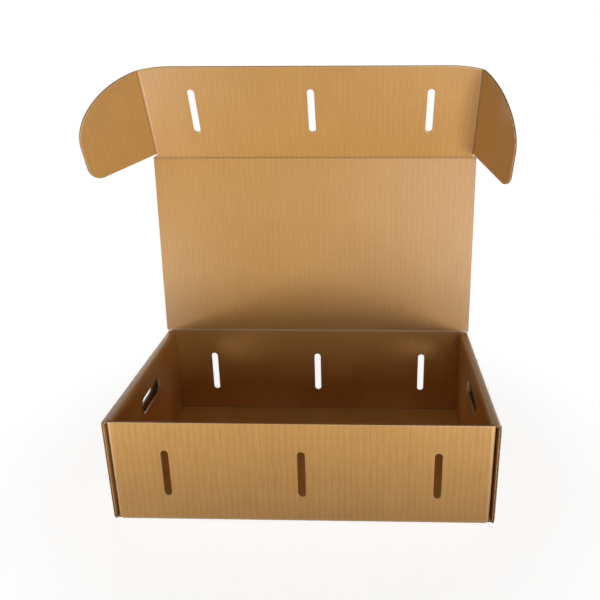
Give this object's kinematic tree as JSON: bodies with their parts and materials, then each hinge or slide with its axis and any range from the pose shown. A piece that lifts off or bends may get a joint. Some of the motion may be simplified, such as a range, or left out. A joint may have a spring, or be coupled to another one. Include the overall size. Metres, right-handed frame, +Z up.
{
  "type": "cardboard tray box",
  "caption": "Corrugated kraft tray box with double rolled end walls, hand holes, slotted walls and a hinged lid whose slotted front flap has two rounded ears.",
  "frame": {"origin": "centre of the tray's underside", "axes": "+Z up, +Y towards the back wall that carries the lid, +X to the right seen from the front"},
  "size_m": [0.4667, 0.2364, 0.444],
  "materials": {
    "kraft_board": "uncoated brown kraft corrugated board, matt"
  },
  "bodies": {
    "tray": {"tray": "kraft_board"},
    "lid": {"lid": "kraft_board"},
    "front_flap": {"front_flap": "kraft_board"},
    "left_ear": {"left_ear": "kraft_board"},
    "right_ear": {"right_ear": "kraft_board"}
  },
  "joints": [
    {"name": "lid_hinge", "type": "hinge", "parent": "tray", "child": "lid", "pos_m": [0, 0.1091, 0.1172], "axis": [-1, 0, 0], "range_deg": [-94, 86]},
    {"name": "flap_fold", "type": "hinge", "parent": "lid", "child": "front_flap", "pos_m": [0, 0.12454, 0.33796], "axis": [1, 0, 0], "range_deg": [-25, 65]},
    {"name": "left_ear_fold", "type": "hinge", "parent": "front_flap", "child": "left_ear", "pos_m": [-0.1916, 0.12454, 0.33796], "axis": [0, -0.3584, 0.9336], "range_deg": [-53, 37]},
    {"name": "right_ear_fold", "type": "hinge", "parent": "front_flap", "child": "right_ear", "pos_m": [0.1916, 0.12454, 0.33796], "axis": [0, 0.3584, -0.9336], "range_deg": [-72, 18]}
  ]
}
